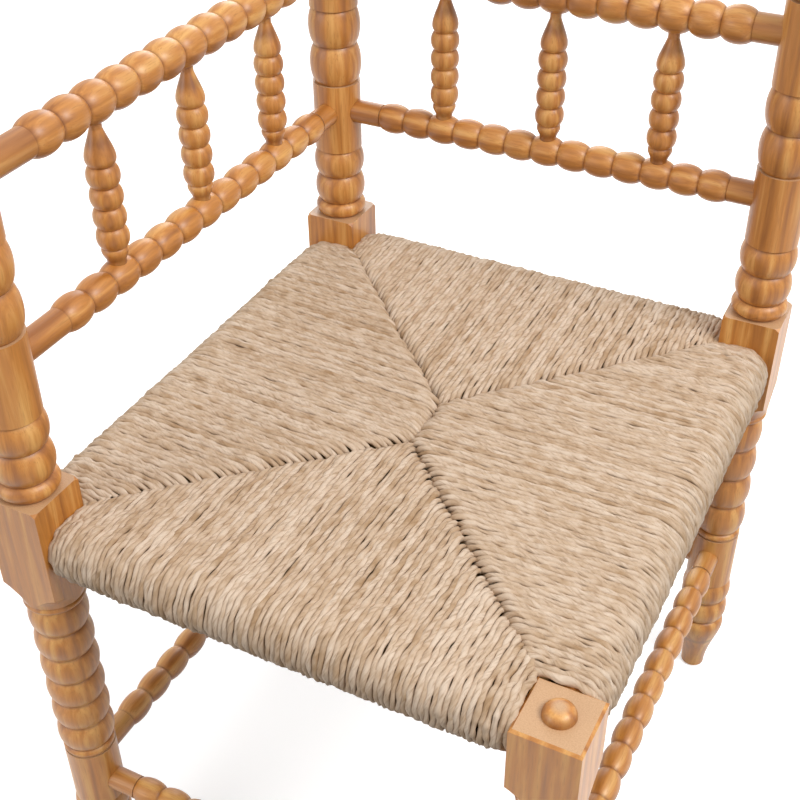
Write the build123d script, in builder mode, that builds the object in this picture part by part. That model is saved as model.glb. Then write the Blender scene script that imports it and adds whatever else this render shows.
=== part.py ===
"""Bobbin-turned corner chair with a rush seat.

Three tall turned posts and one short front leg stand on a rectangular plan.
Two low backs meet at the corner post. Each back is a pair of beaded rails with
three spindles between them. The seat is rush cord wound over four hidden bars.
Millimetres, Z up, origin on the floor under the centre of the plan.
"""
import math
import os

from build123d import *

# Plan, between the centres of the posts
seat_width = 430.0
seat_depth = 486.0

# Axis of each stretcher above the top of the foot, and of each other bar above the start
# of the turning or block that it enters
front_stretcher_rise = 48.0
left_stretcher_rise = 66.0
rear_stretcher_rise = 81.0
right_stretcher_rise = 96.0
seat_bar_rise = 59.0
lower_rail_rise = 39.5
top_rail_rise = 42.0

# Turned foot and leg, listed from the floor upwards. The plain length reaches plain_margin
# past the stretchers, and bobbins fill the leg from there to the block.
foot_height = 76.0
foot_floor_radius = 12.0
foot_edge = 1.5
foot_swell = 8.0
low_bobbin_limit = 30.0
plain_margin = 14.0
leg_ring = 8.0
left_bobbins = 6
corner_bobbins = 5
right_bobbins = 4
front_bobbins = 5
shoulder_ring = 9.0
block_base = 357.0

# Radii shared by all four uprights
plain_radius = 22.8
bobbin_radius = 24.6
groove_radius = 20.0

# Share of a bead's length over which it rises: less makes a fuller bead.
# The curve of a bead rises to this share of the height of its pulling points.
bead_fullness = 0.22
bead_crown_share = 0.75

# Square block that takes the seat bars; its corners lie within corner_share of its side
block_side = 51.0
corner_share = 0.75
post_block_height = 107.0
front_block_height = 77.0
block_shoulder = 18.0
block_cap = 5.0
front_block_edge = 2.0

# Turned upper part of a tall post, listed from the block upwards
upper_ring = 15.0
upper_ring_radius = 25.0
upper_bobbin_pitch = 28.5
upper_bobbin_count = 2
lower_rail_plain = 68.0
slim_bobbin = 37.0
top_bobbin = 36.0
top_rail_plain = 72.0
finial_ring = 12.0
finial_height = 40.0
finial_neck = 18.0
finial_side_pull = 31.0
finial_top_pull = 27.0

# Beaded bars: bead radius, groove radius and end radius
beads_per_bar = 13
top_rail_radius = 15.8
top_rail_groove = 11.2
top_rail_end = 12.0
lower_rail_radius = 14.0
lower_rail_groove = 10.0
lower_rail_end = 11.0
stretcher_radius = 12.8
stretcher_groove = 9.4
stretcher_end = 10.4

# Plain length between post and first bead: near the start and far end of a bar
left_rail_near = 42.0
left_rail_far = 21.0
rear_rail_near = 27.0
rear_rail_far = 20.0
stretcher_plain = 24.0

# Spindles of the backs
spindle_beads = (3, 7, 11)
spindle_bead_radius = 13.0
spindle_groove = 9.6
spindle_bead_pitch = 17.2
spindle_bead_count = 4
spindle_foot_radius = 7.5
spindle_neck_radius = 5.0
spindle_drop = 28.4
spindle_drop_swell = 5.6
spindle_tenon = 8.0
spindle_neck = 4.0

# Hidden seat bars
seat_bar_radius = 16.5
seat_tenon_radius = 8.0

# Rush cord over the bars, and the packing between its two layers
rush_thickness = 9.2
seat_dip = 6.0
seat_underside_rise = 8.0

# Domed button on the front leg
button_radius = 12.0
button_height = 9.0
button_side_pull = 6.3
button_top_pull = 7.2
button_pin_radius = 5.0
button_pin_length = 14.0

# Clearances
joint_clearance = 0.15
tip_clearance = 0.5
rush_clearance = 0.3
face_clearance = 0.2

# Derived heights
upper_base = block_base + post_block_height
front_top = block_base + front_block_height
lower_plain_base = upper_base + upper_ring + upper_bobbin_count * upper_bobbin_pitch
slim_bobbin_base = lower_plain_base + lower_rail_plain
top_plain_base = slim_bobbin_base + slim_bobbin + top_bobbin
finial_base = top_plain_base + top_rail_plain

# Axis heights above the floor
front_stretcher_height = foot_height + front_stretcher_rise
left_stretcher_height = foot_height + left_stretcher_rise
rear_stretcher_height = foot_height + rear_stretcher_rise
right_stretcher_height = foot_height + right_stretcher_rise
seat_bar_height = block_base + seat_bar_rise
lower_rail_height = lower_plain_base + lower_rail_rise
top_rail_height = top_plain_base + top_rail_rise

UP = Vector(0, 0, 1)
left_foot = Vector(-seat_width / 2, -seat_depth / 2, 0)
corner_foot = Vector(-seat_width / 2, seat_depth / 2, 0)
right_foot = Vector(seat_width / 2, seat_depth / 2, 0)
front_foot = Vector(seat_width / 2, -seat_depth / 2, 0)

os.makedirs("parts", exist_ok=True)


def save(piece, label):
    """Label a finished piece and write its file."""
    piece.label = label
    export_step(piece, f"parts/{label}.step")


def turning_plane(base, along):
    """Plane whose local x runs along a turned piece and whose local y is its radius."""
    across = Vector(1, 0, 0) if abs(along.Z) > 0.5 else UP
    return Plane(origin=base, x_dir=along, z_dir=along.cross(across))


def bead(start, length, radius, groove):
    """One bead: a full curve that rises from the groove to its crown and falls back."""
    pull = groove + (radius - groove) / bead_crown_share
    lean = length * bead_fullness
    Bezier(
        (start, groove),
        (start + lean, pull),
        (start + length - lean, pull),
        (start + length, groove),
    )


def bead_row(start, pitch, count, radius, groove):
    """A row of touching beads."""
    for index in range(count):
        bead(start + index * pitch, pitch, radius, groove)


def step_line(*points):
    """Straight run through points of an outline, leaving out repeated ones."""
    run = [points[0]]
    for point in points[1:]:
        if abs(point[0] - run[-1][0]) + abs(point[1] - run[-1][1]) > 1e-6:
            run.append(point)
    if len(run) > 1:
        Polyline(*run)


def leg_outline(stretcher_heights, bobbin_count):
    """Outline of foot, low bobbins, plain length round the stretchers and leg bobbins."""
    plain_base = min(stretcher_heights) - stretcher_end - plain_margin
    plain_end = max(stretcher_heights) + stretcher_end + plain_margin
    low_count = math.ceil((plain_base - foot_height) / low_bobbin_limit)
    low_pitch = (plain_base - foot_height) / low_count
    bobbin_base = plain_end + leg_ring
    shoulder_base = block_base - shoulder_ring
    bobbin_pitch = (shoulder_base - bobbin_base) / bobbin_count
    step_line((0, 0), (0, foot_floor_radius - foot_edge))
    Line((0, foot_floor_radius - foot_edge), (foot_edge, foot_floor_radius))
    Bezier(
        (foot_edge, foot_floor_radius),
        (foot_height / 2, foot_floor_radius),
        (foot_height - foot_swell, bobbin_radius + foot_swell),
        (foot_height, groove_radius),
    )
    bead_row(foot_height, low_pitch, low_count, bobbin_radius, groove_radius)
    step_line(
        (plain_base, groove_radius),
        (plain_base, plain_radius),
        (plain_end, plain_radius),
        (plain_end, groove_radius),
    )
    bead(plain_end, leg_ring, plain_radius, groove_radius)
    bead_row(bobbin_base, bobbin_pitch, bobbin_count, bobbin_radius, groove_radius)
    bead(shoulder_base, shoulder_ring, block_side / 2, groove_radius)
    step_line((block_base, groove_radius), (block_base, 0), (0, 0))


def post_outline():
    """Outline of rings, bobbins, rail lengths and finial above the block."""
    step_line((upper_base, 0), (upper_base, groove_radius))
    bead(upper_base, upper_ring, upper_ring_radius, groove_radius)
    bead_row(
        upper_base + upper_ring,
        upper_bobbin_pitch,
        upper_bobbin_count,
        bobbin_radius,
        groove_radius,
    )
    step_line(
        (lower_plain_base, groove_radius),
        (lower_plain_base, plain_radius),
        (slim_bobbin_base, plain_radius),
        (slim_bobbin_base, groove_radius),
    )
    bead(slim_bobbin_base, slim_bobbin, bobbin_radius, groove_radius)
    bead(slim_bobbin_base + slim_bobbin, top_bobbin, bobbin_radius, groove_radius)
    step_line(
        (top_plain_base, groove_radius),
        (top_plain_base, plain_radius),
        (finial_base, plain_radius),
        (finial_base, finial_neck),
    )
    bead(finial_base, finial_ring, plain_radius, finial_neck)
    ball_base = finial_base + finial_ring
    top = ball_base + finial_height
    Bezier(
        (ball_base, finial_neck),
        (ball_base + finial_height / 4, finial_side_pull),
        (top, finial_top_pull),
        (top, 0),
    )
    step_line((top, 0), (upper_base, 0))


def block_envelope(cap_height, cap):
    """Outline that turns the shoulders of the square block."""
    wide = block_side * corner_share
    step_line((block_base, 0), (block_base, block_side / 2))
    Bezier(
        (block_base, block_side / 2),
        (block_base + block_shoulder / 2, block_side / 2),
        (block_base + block_shoulder, wide - block_cap),
        (block_base + block_shoulder, wide),
    )
    step_line(
        (block_base + block_shoulder, wide),
        (cap_height - cap, wide),
        (cap_height, wide - cap),
        (cap_height, 0),
        (block_base, 0),
    )


def bore(centre, outward, radius, reach):
    """Blind bore into an upright: its floor lies reach away from the centre."""
    length = block_side - reach
    with Locations(Plane(origin=centre + outward * block_side, z_dir=outward)):
        Hole(radius, length)


def tenon_reach(radius):
    """How far a tenon tip stays from the axis, so that crossing tenons never meet."""
    return radius + tip_clearance


# Uprights
def bar_bores(base, outward, stretcher_height, has_back):
    """Bores for every bar that enters an upright from one side."""
    levels = [(stretcher_height, stretcher_end), (seat_bar_height, seat_tenon_radius)]
    if has_back:
        levels += [(lower_rail_height, lower_rail_end), (top_rail_height, top_rail_end)]
    for height, radius in levels:
        floor = tenon_reach(radius) - joint_clearance
        bore(base + UP * height, outward, radius + joint_clearance, floor)


def make_post(label, base, openings, bobbin_count):
    """Tall post; openings lists direction, stretcher height and whether a back joins."""
    stretcher_heights = [stretcher_height for _, stretcher_height, _ in openings]
    with BuildPart() as post:
        with BuildSketch(Plane.XY.offset(block_base)):
            with Locations((base.X, base.Y)):
                Rectangle(block_side, block_side)
        extrude(amount=post_block_height)
        with BuildSketch(turning_plane(base, UP)):
            with BuildLine():
                block_envelope(upper_base, block_cap)
            make_face()
        revolve(axis=Axis(base, UP), mode=Mode.INTERSECT)
        with BuildSketch(turning_plane(base, UP)):
            with BuildLine():
                leg_outline(stretcher_heights, bobbin_count)
            make_face()
        revolve(axis=Axis(base, UP))
        with BuildSketch(turning_plane(base, UP)):
            with BuildLine():
                post_outline()
            make_face()
        revolve(axis=Axis(base, UP))
        for outward, stretcher_height, has_back in openings:
            bar_bores(base, outward, stretcher_height, has_back)
    save(post.part, label)


EAST = Vector(1, 0, 0)
NORTH = Vector(0, 1, 0)
make_post(
    "post_left",
    left_foot,
    [(NORTH, left_stretcher_height, True), (EAST, front_stretcher_height, False)],
    left_bobbins,
)
make_post(
    "post_corner",
    corner_foot,
    [(-NORTH, left_stretcher_height, True), (EAST, rear_stretcher_height, True)],
    corner_bobbins,
)
make_post(
    "post_right",
    right_foot,
    [(-EAST, rear_stretcher_height, True), (-NORTH, right_stretcher_height, False)],
    right_bobbins,
)

# Short front leg, flat on top, with a bore for its button
with BuildPart() as front_leg:
    with BuildSketch(Plane.XY.offset(block_base)):
        with Locations((front_foot.X, front_foot.Y)):
            Rectangle(block_side, block_side)
    extrude(amount=front_block_height)
    with BuildSketch(turning_plane(front_foot, UP)):
        with BuildLine():
            block_envelope(front_top, 0)
        make_face()
    revolve(axis=Axis(front_foot, UP), mode=Mode.INTERSECT)
    chamfer(front_leg.faces().sort_by(Axis.Z)[-1].edges(), front_block_edge)
    with BuildSketch(turning_plane(front_foot, UP)):
        with BuildLine():
            leg_outline([front_stretcher_height, right_stretcher_height], front_bobbins)
        make_face()
    revolve(axis=Axis(front_foot, UP))
    bar_bores(front_foot, -EAST, front_stretcher_height, False)
    bar_bores(front_foot, NORTH, right_stretcher_height, False)
    with Locations(front_foot + UP * front_top):
        Hole(button_pin_radius + joint_clearance, button_pin_length + tip_clearance)
save(front_leg.part, "leg_front")

# Domed button with a pin in the top of the front leg
with BuildPart() as button:
    with BuildSketch(turning_plane(front_foot + UP * front_top, UP)):
        with BuildLine():
            step_line(
                (button_height, 0),
                (-button_pin_length, 0),
                (-button_pin_length, button_pin_radius),
                (0, button_pin_radius),
                (0, button_radius),
            )
            Bezier(
                (0, button_radius),
                (button_side_pull, button_radius),
                (button_height, button_top_pull),
                (button_height, 0),
            )
        make_face()
    revolve(axis=Axis(front_foot, UP))
save(button.part, "front_leg_button")


# Beaded rails and stretchers
def bead_run(start, finish, near, far):
    """Where the beads of a bar begin, and the length of one bead."""
    clear = (finish - start).length - 2 * plain_radius - near - far
    return plain_radius + near, clear / beads_per_bar


def spindle_stations(start, finish, near, far):
    """Distance along a rail of each bead that carries a spindle."""
    first, pitch = bead_run(start, finish, near, far)
    return [first + (number - 0.5) * pitch for number in spindle_beads]


def make_bar(label, start, finish, near, far, height, radius, groove, end, socket=None):
    """Beaded bar between two uprights; socket gives facing and radius of spindle bores."""
    along = (finish - start).normalized()
    length = (finish - start).length
    origin = start + UP * height
    tip = tenon_reach(end)
    first, pitch = bead_run(start, finish, near, far)
    last = first + beads_per_bar * pitch
    with BuildPart() as bar:
        with BuildSketch(turning_plane(origin, along)):
            with BuildLine():
                step_line((length - tip, 0), (tip, 0), (tip, end), (first, end), (first, groove))
                bead_row(first, pitch, beads_per_bar, radius, groove)
                step_line((last, groove), (last, end), (length - tip, end), (length - tip, 0))
            make_face()
        revolve(axis=Axis(origin, along))
        if socket:
            facing, socket_radius = socket
            for station in spindle_stations(start, finish, near, far):
                mouth = origin + along * station + facing * radius
                with Locations(Plane(origin=mouth, z_dir=facing)):
                    Hole(socket_radius + joint_clearance, spindle_tenon + tip_clearance)
    save(bar.part, label)


backs = {
    "left": (left_foot, corner_foot, left_rail_near, left_rail_far),
    "rear": (corner_foot, right_foot, rear_rail_near, rear_rail_far),
}
for side, (start, finish, near, far) in backs.items():
    make_bar(
        f"rail_{side}_top",
        start,
        finish,
        near,
        far,
        top_rail_height,
        top_rail_radius,
        top_rail_groove,
        top_rail_end,
        (-UP, spindle_neck_radius),
    )
    make_bar(
        f"rail_{side}_lower",
        start,
        finish,
        near,
        far,
        lower_rail_height,
        lower_rail_radius,
        lower_rail_groove,
        lower_rail_end,
        (UP, spindle_foot_radius),
    )

sides = {
    "front": (left_foot, front_foot),
    "rear": (corner_foot, right_foot),
    "left": (left_foot, corner_foot),
    "right": (front_foot, right_foot),
}
stretcher_levels = {
    "front": front_stretcher_height,
    "rear": rear_stretcher_height,
    "left": left_stretcher_height,
    "right": right_stretcher_height,
}
for side, (start, finish) in sides.items():
    make_bar(
        f"stretcher_{side}",
        start,
        finish,
        stretcher_plain,
        stretcher_plain,
        stretcher_levels[side],
        stretcher_radius,
        stretcher_groove,
        stretcher_end,
    )


# Spindles, each tenoned into a bead of the rail below and of the rail above
def make_spindle(label, base):
    """Spindle: tapered foot, a row of beads, a drop that narrows into the neck."""
    foot = lower_rail_height + lower_rail_radius
    neck = top_rail_height - top_rail_radius
    drop_top = neck - spindle_neck
    drop_base = drop_top - spindle_drop
    bead_base = drop_base - spindle_bead_count * spindle_bead_pitch
    with BuildPart() as spindle:
        with BuildSketch(turning_plane(base, UP)):
            with BuildLine():
                step_line(
                    (neck + spindle_tenon, spindle_neck_radius),
                    (neck + spindle_tenon, 0),
                    (foot - spindle_tenon, 0),
                    (foot - spindle_tenon, spindle_foot_radius),
                    (foot, spindle_foot_radius),
                )
                Bezier(
                    (foot, spindle_foot_radius),
                    (bead_base - spindle_bead_pitch / 2, spindle_foot_radius),
                    (bead_base - spindle_bead_pitch / 4, spindle_bead_radius),
                    (bead_base, spindle_groove),
                )
                bead_row(
                    bead_base,
                    spindle_bead_pitch,
                    spindle_bead_count,
                    spindle_bead_radius,
                    spindle_groove,
                )
                Bezier(
                    (drop_base, spindle_groove),
                    (drop_base + spindle_drop / 5, spindle_groove + spindle_drop_swell),
                    (drop_base + spindle_drop / 2, spindle_groove),
                    (drop_top, spindle_neck_radius),
                )
                step_line(
                    (drop_top, spindle_neck_radius),
                    (neck + spindle_tenon, spindle_neck_radius),
                )
            make_face()
        revolve(axis=Axis(base, UP))
    save(spindle.part, label)


for side, (start, finish, near, far) in backs.items():
    along = (finish - start).normalized()
    for number, station in enumerate(spindle_stations(start, finish, near, far), 1):
        make_spindle(f"spindle_{side}_{number}", start + along * station)

# Seat frame and rush
bar_shoulder = block_side / 2 + face_clearance
rush_inner_radius = seat_bar_radius + rush_clearance
rush_outer_radius = rush_inner_radius + rush_thickness
shortest_span = min(seat_width, seat_depth) / 2
top_slope = seat_dip / shortest_span
under_slope = seat_underside_rise / shortest_span


def sheet_outline(radius, reach):
    """Nose round a seat bar, with the upper and lower sheets running inwards from it."""
    top_end = (reach, radius - top_slope * reach)
    under_end = (reach, under_slope * reach - radius)
    Line(top_end, (0, radius))
    ThreePointArc((0, radius), (-radius, 0), (0, -radius))
    Line((0, -radius), under_end)
    Line(under_end, top_end)


def seam_planes(start, along, inward, span):
    """Upright planes at 45 degrees from the inner corners of the two blocks."""
    lift = UP * seat_bar_height + inward * bar_shoulder
    near = start + along * bar_shoulder + lift
    far = start + along * (span - bar_shoulder) + lift
    return (
        Plane(origin=near, z_dir=(along - inward).normalized()),
        Plane(origin=far, z_dir=(-along - inward).normalized()),
    )


for side, (start, finish) in sides.items():
    along = (finish - start).normalized()
    span = (finish - start).length
    middle = (start + finish) * 0.5 + UP * seat_bar_height
    inward = (Vector(0, 0, 0) - (start + finish) * 0.5).normalized()
    reach = ((start + finish) * 0.5).length
    section = Plane(origin=middle, x_dir=inward, z_dir=inward.cross(UP))
    half_run = span / 2 - bar_shoulder
    tip = tenon_reach(seat_tenon_radius)

    with BuildPart() as seat_bar:
        with BuildSketch(turning_plane(start + UP * seat_bar_height, along)):
            with BuildLine():
                step_line(
                    (tip, 0),
                    (tip, seat_tenon_radius),
                    (bar_shoulder, seat_tenon_radius),
                    (bar_shoulder, seat_bar_radius),
                    (span - bar_shoulder, seat_bar_radius),
                    (span - bar_shoulder, seat_tenon_radius),
                    (span - tip, seat_tenon_radius),
                    (span - tip, 0),
                    (tip, 0),
                )
            make_face()
        revolve(axis=Axis(start + UP * seat_bar_height, along))
    save(seat_bar.part, f"seat_bar_{side}")

    with BuildPart() as rush:
        with BuildSketch(section):
            with BuildLine():
                sheet_outline(rush_outer_radius, reach)
            make_face()
            with BuildLine():
                sheet_outline(rush_inner_radius, reach)
            make_face(mode=Mode.SUBTRACT)
        extrude(amount=half_run, both=True)
        for seam in seam_planes(start, along, inward, span):
            split(bisect_by=seam, keep=Keep.TOP)
    save(rush.part, f"rush_{side}")

    pad_radius = rush_inner_radius - rush_clearance
    pad_start = seat_bar_radius + rush_clearance
    with BuildPart() as packing:
        with BuildSketch(section):
            with BuildLine():
                Polyline(
                    (pad_start, pad_radius - top_slope * pad_start),
                    (reach, pad_radius - top_slope * reach),
                    (reach, under_slope * reach - pad_radius),
                    (pad_start, under_slope * pad_start - pad_radius),
                    close=True,
                )
            make_face()
        extrude(amount=half_run, both=True)
        for seam in seam_planes(start, along, inward, span):
            split(bisect_by=seam, keep=Keep.TOP)
    save(packing.part, f"packing_{side}")
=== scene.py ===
import math

import bpy
import numpy as np
from mathutils import Matrix, Vector


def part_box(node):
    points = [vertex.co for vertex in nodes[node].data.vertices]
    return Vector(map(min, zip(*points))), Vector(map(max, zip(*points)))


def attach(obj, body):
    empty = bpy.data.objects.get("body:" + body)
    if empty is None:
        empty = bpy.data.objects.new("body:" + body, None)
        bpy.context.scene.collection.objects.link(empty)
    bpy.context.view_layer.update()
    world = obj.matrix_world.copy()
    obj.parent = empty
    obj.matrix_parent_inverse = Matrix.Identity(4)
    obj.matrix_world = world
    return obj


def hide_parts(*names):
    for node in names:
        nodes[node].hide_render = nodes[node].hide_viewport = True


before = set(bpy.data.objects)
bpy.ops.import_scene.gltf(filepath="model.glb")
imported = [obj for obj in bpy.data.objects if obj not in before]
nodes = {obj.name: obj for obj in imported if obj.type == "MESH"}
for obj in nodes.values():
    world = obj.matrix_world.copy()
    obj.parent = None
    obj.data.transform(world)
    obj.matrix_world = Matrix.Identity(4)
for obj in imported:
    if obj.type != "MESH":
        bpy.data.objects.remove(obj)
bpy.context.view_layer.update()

# Uprights: three tall posts and a short front leg, each turned from one length of beech.
# A square block is left for the seat bars, and the turned grooves are darkened, partly by polish that
# has gathered there and partly by painted shade.
# They stand on tapered feet and hold every other piece in glued blind bores.
MM = 0.001


def linear(hex_colour):
    """Linear RGBA of an sRGB hex colour: each channel is a straight part near black and a power
    of 2.4 above it."""
    channels = [int(hex_colour[i:i + 2], 16) / 255 for i in (1, 3, 5)]
    curve = [c / 12.92 if c <= 0.04045 else ((c + 0.055) / 1.055) ** 2.4 for c in channels]
    return (*curve, 1.0)


def add(tree, kind, inputs=None, stops=(), **settings):
    """Adds one shader node: inputs are values or sockets to link, settings are its properties,
    and stops of (position, sRGB hex) take the place of the two ends of a colour ramp."""
    node = tree.nodes.new("ShaderNode" + kind)
    for name, value in settings.items():
        setattr(node, name, value)
    for key, value in (inputs or {}).items():
        if isinstance(value, bpy.types.NodeSocket):
            tree.links.new(value, node.inputs[key])
        else:
            node.inputs[key].default_value = value
    for position, colour in stops:
        node.color_ramp.elements.new(position).color = linear(colour)
    for end in (0, -1)[:len(stops)]:
        node.color_ramp.elements.remove(node.color_ramp.elements[end])
    return node


def new_material(name):
    """A new material, its node tree and its Principled shader."""
    material = bpy.data.materials.new(name)
    material.use_nodes = True
    return material, material.node_tree, material.node_tree.nodes["Principled BSDF"]


# Beech, turned and satin lacquered: a honey body, paler and darker bands along the grain,
# short fine pores, grooves darkened partly by stain and partly by painted shade, and a soft
# highlight on every bead. Real pores are about 0.1 mm wide and are drawn ten times as wide, so that
# they show.
BEECH_LIGHT = "#DDA65C"
BEECH_BODY = "#C17D31"
BEECH_DARK = "#9A5B19"
# Groove colour: partly stain and polish gathered in the grooves, partly painted shade in those
# recesses.
BEECH_GROOVE_STAIN_AND_SHADE = "#6E3A0C"
# End-grain colours, partly real end grain and partly painted sheen: paler and greyer than the side
# grain, as a lit, glossy top looks.
BEECH_END_PAINTED_SHEEN = "#C49C74"
BEECH_END_DARK_PAINTED_SHEEN = "#B68C63"
BAND_LENGTH = 140.0 * MM
BAND_WIDTH = 9.0 * MM
PORE_LENGTH = 14.0 * MM
PORE_WIDTH = 1.0 * MM
PORE_DEPTH = 0.3 * MM
PORE_DARKENS = 0.45
# Share of the groove colour, stain and painted shade, at the groove's radius.
STAIN_AND_SHADE_DARKENS = 0.5
SATIN_ROUGHNESS = (0.45, 0.60)
LACQUER_WEIGHT = 0.6
LACQUER_ROUGHNESS = 0.36
PIECE_SHIFT = 7.3
GRAIN_TURN = {"x": (0, 0, 0), "y": (0, 0, -math.pi / 2), "z": (0, math.pi / 2, 0)}
ACROSS_GRAIN = {"x": (0, 1, 1), "y": (1, 0, 1), "z": (1, 1, 0)}


def turned_beech(name, axis, centre, groove, fade):
    """Beech with its grain along the lathe axis through centre, shifted from piece to piece by a
    multiple of that centre. Stain and painted shade lie where the radius from the axis is the
    groove's, and fade out on either side. Faces square to the axis, such as the flat top of the
    leg, are flecked end grain, painted pale and greyish as a lit, glossy top looks."""
    material, tree, shader = new_material(name)
    coordinates = add(tree, "TexCoord").outputs
    place = coordinates["Object"]
    turned = add(tree, "VectorRotate", {"Vector": place, "Rotation": GRAIN_TURN[axis]},
                 rotation_type="EULER_XYZ")
    shift = tuple(c * PIECE_SHIFT for c in centre)
    apart = add(tree, "VectorMath", {0: turned.outputs[0], 1: shift})
    band_place = add(tree, "VectorMath", {0: apart.outputs[0],
                                          1: (1 / BAND_LENGTH, 1 / BAND_WIDTH, 1 / BAND_WIDTH)},
                     operation="MULTIPLY")
    bands = add(tree, "TexNoise", {"Vector": band_place.outputs[0], "Scale": 1.0, "Detail": 4.0,
                                   "Distortion": 0.4})
    tone = add(tree, "ValToRGB", {"Fac": bands.outputs["Fac"]},
               stops=((0.32, BEECH_DARK), (0.50, BEECH_BODY), (0.70, BEECH_LIGHT)))
    pore_place = add(tree, "VectorMath", {0: apart.outputs[0],
                                          1: (1 / PORE_LENGTH, 1 / PORE_WIDTH, 1 / PORE_WIDTH)},
                     operation="MULTIPLY")
    pores = add(tree, "TexNoise", {"Vector": pore_place.outputs[0], "Scale": 1.0, "Detail": 2.0})
    pore_mask = add(tree, "MapRange", {"Value": pores.outputs["Fac"], "From Min": 0.56,
                                       "From Max": 0.74, "To Max": PORE_DARKENS})
    grained = add(tree, "Mix", {"Factor": pore_mask.outputs[0], "A": tone.outputs["Color"],
                                "B": linear(BEECH_DARK)}, data_type="RGBA")
    from_axis = add(tree, "VectorMath", {0: place, 1: centre}, operation="SUBTRACT")
    across = add(tree, "VectorMath", {0: from_axis.outputs[0], 1: ACROSS_GRAIN[axis]},
                 operation="MULTIPLY")
    radius = add(tree, "VectorMath", {0: across.outputs[0]}, operation="LENGTH")
    height = add(tree, "Math", {0: radius.outputs["Value"], 1: groove}, operation="SUBTRACT")
    from_groove = add(tree, "Math", {0: height.outputs[0]}, operation="ABSOLUTE")
    # Painted shade, partly stain: darkens where the radius is the groove's, in the turned recesses.
    stain_and_shade = add(tree, "MapRange", {"Value": from_groove.outputs[0], "From Min": fade,
                                   "From Max": 0.0, "To Max": STAIN_AND_SHADE_DARKENS},
                interpolation_type="SMOOTHSTEP")
    side_part = add(tree, "VectorMath", {0: coordinates["Normal"], 1: ACROSS_GRAIN[axis]},
                    operation="MULTIPLY")
    side_on = add(tree, "VectorMath", {0: side_part.outputs[0]}, operation="LENGTH")
    off_sheened_ends = add(tree, "MapRange", {"Value": side_on.outputs["Value"], "From Min": 0.1,
                                      "From Max": 0.4})
    stained_and_shaded = add(tree, "Mix", {"Factor": stain_and_shade.outputs[0], "A": grained.outputs["Result"],
                                "B": linear(BEECH_GROOVE_STAIN_AND_SHADE)}, data_type="RGBA")
    # End faces, such as the top of the leg: flecked end grain, painted pale as a lit, glossy top.
    end_grain_painted_sheen = add(tree, "ValToRGB", {"Fac": pores.outputs["Fac"]},
                    stops=((0.30, BEECH_END_DARK_PAINTED_SHEEN), (0.65, BEECH_END_PAINTED_SHEEN)))
    colour = add(tree, "Mix", {"Factor": off_sheened_ends.outputs[0], "A": end_grain_painted_sheen.outputs["Color"],
                               "B": stained_and_shaded.outputs["Result"]}, data_type="RGBA")
    bump = add(tree, "Bump", {"Height": pores.outputs["Fac"], "Strength": 0.12,
                              "Distance": PORE_DEPTH})
    satin = add(tree, "MapRange", {"Value": bands.outputs["Fac"], "To Min": SATIN_ROUGHNESS[0],
                                   "To Max": SATIN_ROUGHNESS[1]})
    tree.links.new(colour.outputs["Result"], shader.inputs["Base Color"])
    tree.links.new(satin.outputs[0], shader.inputs["Roughness"])
    tree.links.new(bump.outputs[0], shader.inputs["Normal"])
    shader.inputs["Coat Weight"].default_value = LACQUER_WEIGHT
    shader.inputs["Coat Roughness"].default_value = LACQUER_ROUGHNESS
    return material


def middle(node):
    """Centre of a CAD node's box."""
    low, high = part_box(node)
    return tuple((low + high) / 2)


def dress(node, axis, groove, fade):
    """Gives a turned CAD node its own beech, with the grain along its lathe axis."""
    mesh = nodes[node].data
    mesh.materials.clear()
    mesh.materials.append(turned_beech(f"turned_beech_{node}", axis, middle(node), groove, fade))


UPRIGHT_GROOVE = 20.0 * MM
# Width over which the groove colour, stain and painted shade, fades out.
GROOVE_STAIN_AND_SHADE = 1.5 * MM
for upright in ("post_left", "post_corner", "post_right", "leg_front"):
    dress(upright, "z", UPRIGHT_GROOVE, GROOVE_STAIN_AND_SHADE)

# Button: a small beech dome turned with its own pin, glued into the flat top of the front leg.
# Its rim, where it meets the leg, is darkened partly by stain and partly by painted shade.
BUTTON_RIM = 12.0 * MM
BUTTON_STAIN_AND_SHADE = 4.0 * MM
dress("front_leg_button", "z", BUTTON_RIM, BUTTON_STAIN_AND_SHADE)

# Backs: a top rail and a lower rail of beaded beech on the left and rear sides, glued into the
# posts, with three turned spindles between them that stand in bores in the beads. The slim ends
# of the spindles are darkened too, with painted shade, as in the shade of the rails.
TOP_RAIL_GROOVE = 11.2 * MM
LOWER_RAIL_GROOVE = 10.0 * MM
# The slim spindle ends get the groove colour as painted shade, as under the rails.
SPINDLE_END = 8.0 * MM
SPINDLE_STAIN_AND_SHADE = 3.0 * MM
for side, axis in (("left", "y"), ("rear", "x")):
    dress(f"rail_{side}_top", axis, TOP_RAIL_GROOVE, GROOVE_STAIN_AND_SHADE)
    dress(f"rail_{side}_lower", axis, LOWER_RAIL_GROOVE, GROOVE_STAIN_AND_SHADE)
    for number in (1, 2, 3):
        dress(f"spindle_{side}_{number}", "z", SPINDLE_END, SPINDLE_STAIN_AND_SHADE)

# Stretchers and seat bars: four beaded beech stretchers between the legs, and four plain round
# bars, tenoned into the blocks, that the rush hides. All are turned along their length.
STRETCHER_GROOVE = 9.4 * MM
SEAT_BAR_TENON = 8.0 * MM
SIDES = {"front": "x", "rear": "x", "left": "y", "right": "y"}
for side, axis in SIDES.items():
    dress(f"stretcher_{side}", axis, STRETCHER_GROOVE, GROOVE_STAIN_AND_SHADE)
    dress(f"seat_bar_{side}", axis, SEAT_BAR_TENON, GROOVE_STAIN_AND_SHADE)

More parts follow.
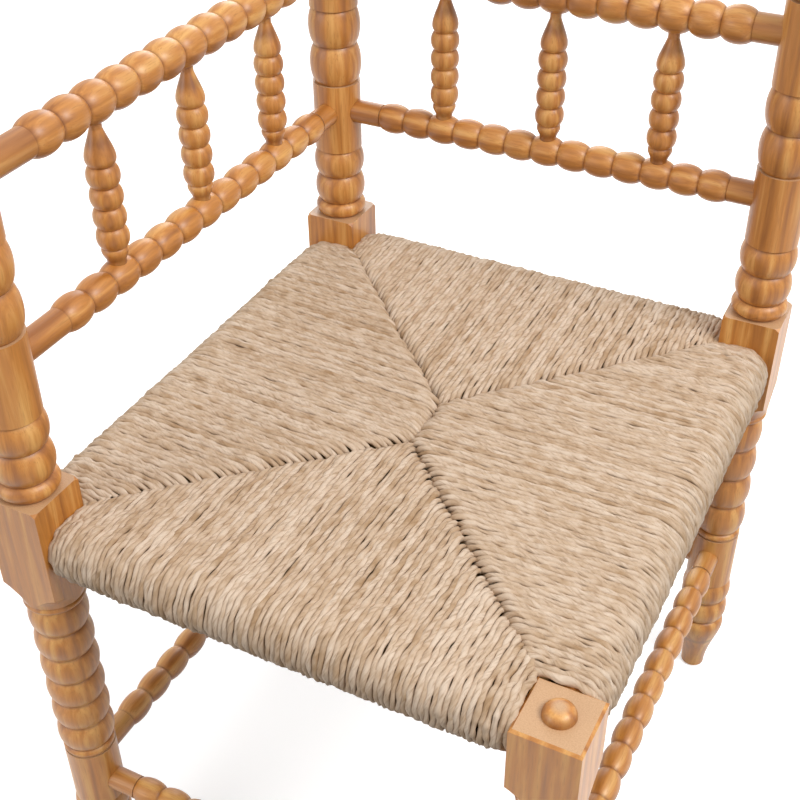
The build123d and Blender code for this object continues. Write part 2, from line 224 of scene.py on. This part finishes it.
# Rush seat: cord twisted by hand from two leaves of dried rush and wound over each bar and back
# below it, so every quarter is a row of cords square to its bar. Where two quarters meet, each
# cord dives under the one that crosses it, which draws the four mitred seams.
ALONG = {"x": np.array([1.0, 0.0, 0.0]), "y": np.array([0.0, 1.0, 0.0])}
INWARD = {
    "front": np.array([0.0, 1.0, 0.0]),
    "rear": np.array([0.0, -1.0, 0.0]),
    "left": np.array([1.0, 0.0, 0.0]),
    "right": np.array([-1.0, 0.0, 0.0]),
}
UPWARD = np.array([0.0, 0.0, 1.0])
CORD_PITCH = 4.3 * MM
CORD_RADIUS = 2.5 * MM
CORD_LAY = 38.0 * MM
LAY_RANGE = (0.8, 1.25)
LAY_WANDER = 0.1
TWO_LEAVES = 0.15
LEAF_FOLD = 0.07
SIZE_WANDER = 0.13
SWAY = 0.6 * MM
LIFT = 0.35 * MM
CORD_SIDES = 8
CORD_STEP = 4.2 * MM
DIVE_DEPTH = 7.0 * MM
DIVE_LENGTH = 12.0 * MM
CORNER_DIVE = 0.2
SEAM_OPENING = 40.0 * MM
SEAM_JITTER = 2.0 * MM
END_SINK = 4.0 * MM
END_FADE = 7.0 * MM
END_SWELL = 0.5
LEAST_SIZE = 0.75
SLOPE_RUN = 215.0
TOP_SLOPE = 6.0 / SLOPE_RUN
UNDER_SLOPE = 8.0 / SLOPE_RUN
TONE_SPREAD = 0.07
RUSH_SEED = 11

# Dried rush leaf: pale straw that turns to tan along a leaf, fine fibres, no gloss. The fibres
# are drawn about five times as coarse as real ones, so that they show.
RUSH_PALE = "#CEBAA5"
RUSH_STRAW = "#BDA48A"
RUSH_TAN = "#A48666"
RUSH_FIBRE = "#846341"
LEAF_LENGTH = 16.0 * MM
FIBRE_LENGTH = 9.0 * MM
FIBRES_ROUND = 9.0
FIBRE_DEPTH = 0.5 * MM
FIBRE_DARKENS = 0.55


def dried_rush():
    """Rush leaf: colour differs from cord to cord and along it, and fibres follow the twist."""
    material, tree, shader = new_material("dried_rush")
    along_cord = add(tree, "UVMap", uv_map="cord").outputs[0]
    own = add(tree, "Attribute", attribute_name="cord_tone")
    leaf_place = add(tree, "VectorMath", {0: along_cord, 1: (1 / LEAF_LENGTH, 1.0, 1.0)},
                     operation="MULTIPLY")
    leaves = add(tree, "TexNoise", {"Vector": leaf_place.outputs[0], "Scale": 1.0, "Detail": 3.0})
    blend = add(tree, "Mix", {"Factor": 0.5, "A": own.outputs["Fac"], "B": leaves.outputs["Fac"]})
    tone = add(tree, "ValToRGB", {"Fac": blend.outputs["Result"]},
               stops=((0.36, RUSH_TAN), (0.47, RUSH_STRAW), (0.60, RUSH_PALE)))
    fibre_place = add(tree, "VectorMath", {0: along_cord, 1: (1 / FIBRE_LENGTH, FIBRES_ROUND, 1.0)},
                      operation="MULTIPLY")
    fibres = add(tree, "TexNoise", {"Vector": fibre_place.outputs[0], "Scale": 1.0, "Detail": 3.0})
    fibre_mask = add(tree, "MapRange", {"Value": fibres.outputs["Fac"], "From Min": 0.50,
                                        "From Max": 0.72, "To Max": FIBRE_DARKENS})
    colour = add(tree, "Mix", {"Factor": fibre_mask.outputs[0], "A": tone.outputs["Color"],
                               "B": linear(RUSH_FIBRE)}, data_type="RGBA")
    bump = add(tree, "Bump", {"Height": fibres.outputs["Fac"], "Strength": 0.5,
                              "Distance": FIBRE_DEPTH})
    tree.links.new(colour.outputs["Result"], shader.inputs["Base Color"])
    tree.links.new(bump.outputs[0], shader.inputs["Normal"])
    shader.inputs["Roughness"].default_value = 0.65
    shader.inputs["Specular IOR Level"].default_value = 0.3
    return material


def tube_mesh(name, points, tones, lengths, turns):
    """Closed tubes from points of shape (tubes, stations, sides, 3), with a flat cap at each end.
    The map "cord" holds metres along a tube and turns round it; "cord_tone" is one value a tube."""
    tubes, stations, sides = points.shape[:3]
    index = np.arange(tubes * stations * sides).reshape(tubes, stations, sides)
    beside = np.roll(index, -1, axis=2)
    walls = np.stack([index[:, :-1], beside[:, :-1], beside[:, 1:], index[:, 1:]], axis=-1)
    caps = np.concatenate([index[:, 0, ::-1], index[:, -1]])
    mesh = bpy.data.meshes.new(name)
    mesh.from_pydata(points.reshape(-1, 3), [], walls.reshape(-1, 4).tolist() + caps.tolist())
    mesh.attributes.new("cord_tone", "FLOAT", "POINT").data.foreach_set(
        "value", np.repeat(tones, stations * sides).astype(np.float32))
    corners = np.empty(len(mesh.loops), dtype=np.int32)
    mesh.loops.foreach_get("vertex_index", corners)
    cord_map = np.stack([lengths, turns], axis=-1).reshape(-1, 2)[corners]
    # The last wall of a tube ends one whole turn on from where the first begins
    at_seam = walls.reshape(-1, 4) % sides == 0
    at_seam[:, [0, 3]] = False
    cord_map[:at_seam.size, 1] += at_seam.ravel()
    mesh.uv_layers.new(name="cord").data.foreach_set("uv", cord_map.astype(np.float32).ravel())
    mesh.polygons.foreach_set("use_smooth", np.ones(len(mesh.polygons), dtype=bool))
    mesh.update()
    piece = bpy.data.objects.new(name, mesh)
    bpy.context.scene.collection.objects.link(piece)
    return piece


def wander(generator, rows, stations, knots):
    """Slow random wander, one row for each cord: Catmull-Rom curves through random knots."""
    values = generator.normal(size=(rows, knots + 3))
    place = np.linspace(0, knots, stations)
    cell = np.minimum(place.astype(int), knots - 1)
    f = place - cell
    a, b, c, d = (values[:, cell + k] for k in range(4))
    return b + 0.5 * f * (c - a + f * (2 * a - 5 * b + 4 * c - d + f * (3 * (b - c) + d - a)))


def seam_reach(side, places):
    """How far inwards from its bar each place along it meets the seam, at most to the middle line."""
    low, high = (np.array(corner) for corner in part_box(f"rush_{side}"))
    block_low, block_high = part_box("leg_front")
    half_span = (high - low) @ ALONG[SIDES[side]] / 2
    seat_middle = abs(middle("seat_bar_left")[0])
    return np.minimum((block_high.x - block_low.x) / 2 + half_span - np.abs(places), seat_middle)


def rush_quarter(side, seed):
    """Cords of one quarter as (cord, station) arrays. Each runs along the lower sheet, half round
    the bar and back along the upper sheet; its two-lobed section turns once in every lay. The
    cords beside a block are pressed closer to the bar and are never thin, by amounts that decay
    along the bar. In the frame of the bar, u is inward, v along it and w up."""
    generator = np.random.default_rng(seed)
    along, inward = ALONG[SIDES[side]], INWARD[side]
    low, high = (np.array(corner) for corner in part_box(f"rush_{side}"))
    span = (high - low) @ along
    count = int(span / CORD_PITCH)
    places = ((np.arange(count) + 0.5) / count - 0.5) * span
    pressed = END_SINK * np.exp((np.abs(places) + CORD_PITCH / 2 - span / 2) / END_FADE)
    nose = (high[2] - low[2]) / 2 - CORD_RADIUS - pressed[:, None]
    reach = seam_reach(side, places)[:, None]
    reach = reach + generator.uniform(-1, 1, (count, 1)) * SEAM_JITTER
    length = 2 * reach + math.pi * nose
    stations = int(length.max() / CORD_STEP)
    s = np.linspace(0, 1, stations) * length
    turn = np.clip((s - reach) / nose, 0, math.pi)
    under = np.clip(reach - s, 0, None)
    over = np.clip(s - reach - math.pi * nose, 0, None)
    dive = np.clip(1 - np.minimum(s, length - s) / DIVE_LENGTH, 0, 1) ** 2 * DIVE_DEPTH
    dive *= np.clip((reach - reach.min()) / SEAM_OPENING, CORNER_DIVE, 1)
    lift = wander(generator, count, stations, knots=18) * LIFT
    u = under + over - (nose + lift) * np.sin(turn)
    w = -(nose + lift) * np.cos(turn) - over * TOP_SLOPE + under * UNDER_SLOPE
    w += np.where(turn > math.pi / 2, -dive, dive)
    sway = np.clip(wander(generator, count, stations, knots=20) * SWAY, -SWAY, SWAY)
    v = places[:, None] + sway
    path = np.array(middle(f"seat_bar_{side}")) + v[..., None] * along + u[..., None] * inward
    path = path + w[..., None] * UPWARD
    tangent = np.gradient(path, axis=1)
    tangent /= np.linalg.norm(tangent, axis=2, keepdims=True)
    outward = np.cross(tangent, along)
    outward /= np.linalg.norm(outward, axis=2, keepdims=True)
    lateral = np.cross(outward, tangent)
    phase = generator.uniform(0, 1, (count, 1))
    lay = CORD_LAY * generator.uniform(*LAY_RANGE, (count, 1))
    twist = s / lay + phase + wander(generator, count, stations, knots=12) * LAY_WANDER
    least = LEAST_SIZE + END_SWELL * pressed[:, None] / END_SINK
    thickness = 1 + SIZE_WANDER * wander(generator, count, stations, knots=34)
    size = CORD_RADIUS * np.maximum(thickness, least)
    angle = np.arange(CORD_SIDES) / CORD_SIDES
    leaf = 2 * math.pi * (angle - twist[..., None])
    lobes = 1 + TWO_LEAVES * np.cos(2 * leaf) + LEAF_FOLD * np.cos(3 * leaf + 1)
    radius = size[..., None] * lobes
    ring = (np.cos(2 * math.pi * angle)[:, None] * lateral[:, :, None]
            + np.sin(2 * math.pi * angle)[:, None] * outward[:, :, None])
    points = path[:, :, None] + radius[..., None] * ring
    lengths = np.broadcast_to((s + phase)[..., None], radius.shape)
    tones = np.clip(generator.normal(0.5, TONE_SPREAD, count), 0, 1)
    return tube_mesh(f"rush_cords_{side}", points, tones, lengths, leaf / (2 * math.pi))


rush = dried_rush()
for number, side in enumerate(SIDES):
    cords = rush_quarter(side, RUSH_SEED + number)
    cords.data.materials.append(rush)
    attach(cords, "root")
    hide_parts(f"rush_{side}")

# Packing: loose rush offcuts pressed flat between the two layers of cord in each quarter.
# It only shows as a dull brown in the gaps between cords.
PACKING_SEED = 21
PAD_STATIONS = 60
PAD_SIDES = 40
PAD_LUMP = 0.7 * MM
PAD_RISE = 3.2 * MM
PAD_MARGIN = 1.0 * MM
PAD_SQUARENESS = 0.3
OFFCUT_DARK = "#6B5130"
OFFCUT_LIGHT = "#A68654"
OFFCUT_SIZE = 5.0 * MM


def rush_offcuts():
    """Rush offcuts: brown and straw flecks, quite matt."""
    material, tree, shader = new_material("rush_offcuts")
    place = add(tree, "TexCoord").outputs["Object"]
    flecks = add(tree, "TexNoise", {"Vector": place, "Scale": 1 / OFFCUT_SIZE, "Detail": 4.0})
    tone = add(tree, "ValToRGB", {"Fac": flecks.outputs["Fac"]},
               stops=((0.35, OFFCUT_DARK), (0.65, OFFCUT_LIGHT)))
    tree.links.new(tone.outputs["Color"], shader.inputs["Base Color"])
    shader.inputs["Roughness"].default_value = 0.9
    return material


def packing_pad(side, seed):
    """Lumpy pad: across the bar its section is a flattened oval from the bar to the seam, whose
    height follows the two sheets; sections run along the bar from block to block."""
    generator = np.random.default_rng(seed)
    along, inward = ALONG[SIDES[side]], INWARD[side]
    low, high = (np.array(corner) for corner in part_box(f"packing_{side}"))
    bar_low, bar_high = (np.array(corner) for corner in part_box(f"seat_bar_{side}"))
    half_bar = (bar_high - bar_low)[2] / 2
    half_span = (high - low) @ along / 2
    places = np.linspace(-1, 1, PAD_STATIONS) * (half_span - PAD_MARGIN)
    far = seam_reach(side, places)[:, None] - PAD_MARGIN
    near = half_bar + PAD_MARGIN
    angle = np.arange(PAD_SIDES) / PAD_SIDES * 2 * math.pi
    u = near + (far - near) * (1 + np.cos(angle)) / 2
    top = half_bar + PAD_RISE - u * TOP_SLOPE
    bottom = u * UNDER_SLOPE - half_bar - PAD_RISE
    lumps = wander(generator, PAD_STATIONS, PAD_SIDES, knots=12) * PAD_LUMP
    fullness = np.sign(np.sin(angle)) * np.abs(np.sin(angle)) ** PAD_SQUARENESS
    thick = (top - bottom) / 2 - 2 * PAD_LUMP
    w = (top + bottom) / 2 + fullness * thick + lumps * np.abs(np.sin(angle))
    path = np.array(middle(f"seat_bar_{side}")) + places[:, None, None] * along
    points = path + u[..., None] * inward + w[..., None] * UPWARD
    # Sections are turned round where inward, up and along make a left-handed set
    if np.cross(inward, UPWARD) @ along < 0:
        points = points[:, ::-1]
    lengths = np.broadcast_to(places[:, None], u.shape)
    turns = np.broadcast_to(angle / (2 * math.pi), u.shape)
    one_tone = np.full(1, 0.5)
    return tube_mesh(f"packing_pad_{side}", points[None], one_tone, lengths[None], turns[None])


offcuts = rush_offcuts()
for number, side in enumerate(SIDES):
    pad = packing_pad(side, PACKING_SEED + number)
    pad.data.materials.append(offcuts)
    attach(pad, "root")
    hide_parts(f"packing_{side}")

# Studio: a matt floor that is white to the eye and keeps the chair's soft shadow but throws
# little light back up, a large soft key light from the upper right, weaker lights from the left
# and from behind, and a white surround that lights the chair more from above than from the sides.
FLOOR_HALF = 30.0
FLOOR_WHITE = "#FBFBFB"
FLOOR_BOUNCE = 0.04
FLOOR_GLOW = 0.32
SURROUND_SIDES = 0.25
SURROUND_ABOVE = 1.05
floor_mesh = bpy.data.meshes.new("floor")
floor_corners = np.array([(-1, -1, 0), (1, -1, 0), (1, 1, 0), (-1, 1, 0)]) * FLOOR_HALF
floor_mesh.from_pydata(floor_corners, [], [(0, 1, 2, 3)])
paper, paper_tree, paper_shader = new_material("white_paper")


def seen_directly(tree):
    """1 for rays that show a surface to the camera, straight, mirrored or through glass, else 0."""
    ray = add(tree, "LightPath").outputs
    mirrored = add(tree, "Math", {0: ray["Is Camera Ray"], 1: ray["Is Glossy Ray"]},
                   operation="MAXIMUM")
    through = add(tree, "Math", {0: mirrored.outputs[0], 1: ray["Is Transmission Ray"]},
                  operation="MAXIMUM")
    return through.outputs[0]


seen = seen_directly(paper_tree)
bounce_grey = (FLOOR_BOUNCE, FLOOR_BOUNCE, FLOOR_BOUNCE, 1.0)
paper_white = add(paper_tree, "Mix", {"Factor": seen, "A": bounce_grey,
                                      "B": linear(FLOOR_WHITE)}, data_type="RGBA")
paper_glow = add(paper_tree, "Math", {0: seen, 1: FLOOR_GLOW}, operation="MULTIPLY")
paper_tree.links.new(paper_white.outputs["Result"], paper_shader.inputs["Base Color"])
paper_tree.links.new(paper_glow.outputs[0], paper_shader.inputs["Emission Strength"])
paper_shader.inputs["Roughness"].default_value = 0.9
paper_shader.inputs["Emission Color"].default_value = linear("#FFFFFF")
floor_mesh.materials.append(paper)
floor = bpy.data.objects.new("floor", floor_mesh)
bpy.context.scene.collection.objects.link(floor)

world = bpy.data.worlds.new("surround")
world.use_nodes = True
bpy.context.scene.world = world
sky_tree = world.node_tree
towards = add(sky_tree, "SeparateXYZ", {0: add(sky_tree, "TexCoord").outputs["Generated"]})
level = add(sky_tree, "MapRange", {"Value": towards.outputs["Z"], "To Min": SURROUND_SIDES,
                                   "To Max": SURROUND_ABOVE})
sky = add(sky_tree, "Mix", {"Factor": seen_directly(sky_tree), "A": level.outputs[0],
                            "B": (1.0, 1.0, 1.0, 1.0)}, data_type="RGBA")
sky_tree.links.new(sky.outputs["Result"], sky_tree.nodes["Background"].inputs["Color"])

SEAT_CENTRE = (0.0, 0.0, 0.45)


def soft_light(name, place, size, power):
    """Square area light of this size and power at place, turned towards the seat."""
    lamp = bpy.data.lights.new(name, "AREA")
    lamp.size = size
    lamp.energy = power
    holder = bpy.data.objects.new(name, lamp)
    holder.location = place
    towards_seat = Vector(SEAT_CENTRE) - Vector(place)
    holder.rotation_euler = towards_seat.to_track_quat("-Z", "Y").to_euler()
    bpy.context.scene.collection.objects.link(holder)


soft_light("key_light", place=(2.0, -0.3, 2.7), size=1.2, power=62.0)
soft_light("fill_light", place=(-1.8, -2.4, 1.4), size=1.6, power=25.0)
soft_light("back_light", place=(-1.2, 2.6, 1.7), size=1.6, power=24.0)

# Camera: at the photograph's own viewing point, fitted to the posts, rails and blocks. The focal
# length is in pixels of the square frame.
CAMERA_AZIMUTH = math.radians(27.32)
CAMERA_ELEVATION = math.radians(36.99)
CAMERA_ROLL = math.radians(-0.59)
CAMERA_DISTANCE = 1108.6 * MM
CAMERA_TARGET = Vector((-33.9, 18.6, 430.0)) * MM
FOCAL_PIXELS = 1280.8
FRAME_PIXELS = 800
backward = Vector((math.sin(CAMERA_AZIMUTH) * math.cos(CAMERA_ELEVATION),
                   -math.cos(CAMERA_AZIMUTH) * math.cos(CAMERA_ELEVATION),
                   math.sin(CAMERA_ELEVATION)))
level_right = (-backward).cross(Vector((0, 0, 1))).normalized()
level_up = level_right.cross(-backward)
right = level_right * math.cos(CAMERA_ROLL) + level_up * math.sin(CAMERA_ROLL)
up = level_up * math.cos(CAMERA_ROLL) - level_right * math.sin(CAMERA_ROLL)
lens = bpy.data.cameras.new("camera")
lens.sensor_width = 36.0
lens.lens = FOCAL_PIXELS / FRAME_PIXELS * lens.sensor_width
viewer = bpy.data.objects.new("camera", lens)
viewer.matrix_world = (Matrix.Translation(CAMERA_TARGET + backward * CAMERA_DISTANCE)
                       @ Matrix((right, up, backward)).transposed().to_4x4())
bpy.context.scene.collection.objects.link(viewer)
bpy.context.scene.camera = viewer
bpy.context.scene.view_settings.view_transform = "Standard"
